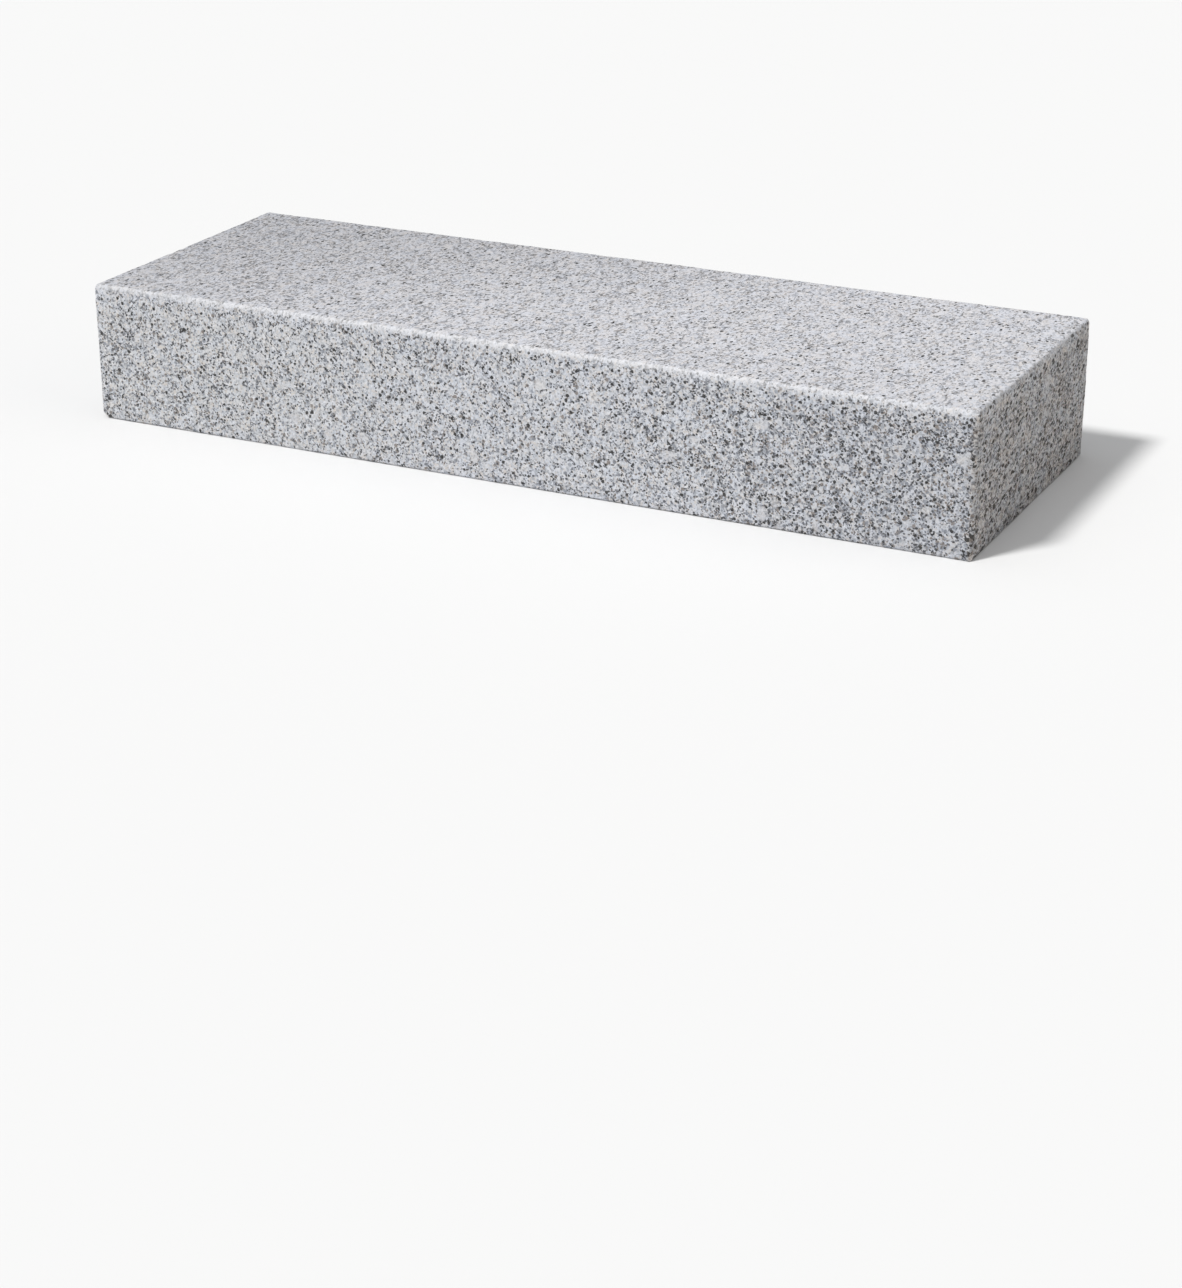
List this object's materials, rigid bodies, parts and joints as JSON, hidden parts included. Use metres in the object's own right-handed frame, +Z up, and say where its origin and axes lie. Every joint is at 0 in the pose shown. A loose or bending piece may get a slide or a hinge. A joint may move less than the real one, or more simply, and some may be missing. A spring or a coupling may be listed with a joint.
{
  "type": "granite block step",
  "caption": "Solid granite block step: a plain rectangular stair block with rounded arrises and finely bush-hammered faces.",
  "frame": {"origin": "centre of the bed, the underside that the step lies on", "axes": "+X along the step's length, -Y out of the riser, +Z up out of the tread"},
  "size_m": [1, 0.35, 0.15],
  "materials": {
    "granite": "bush-hammered light grey granite, salt-and-pepper grain"
  },
  "bodies": {
    "root": {"block_step": "granite"}
  },
  "joints": []
}
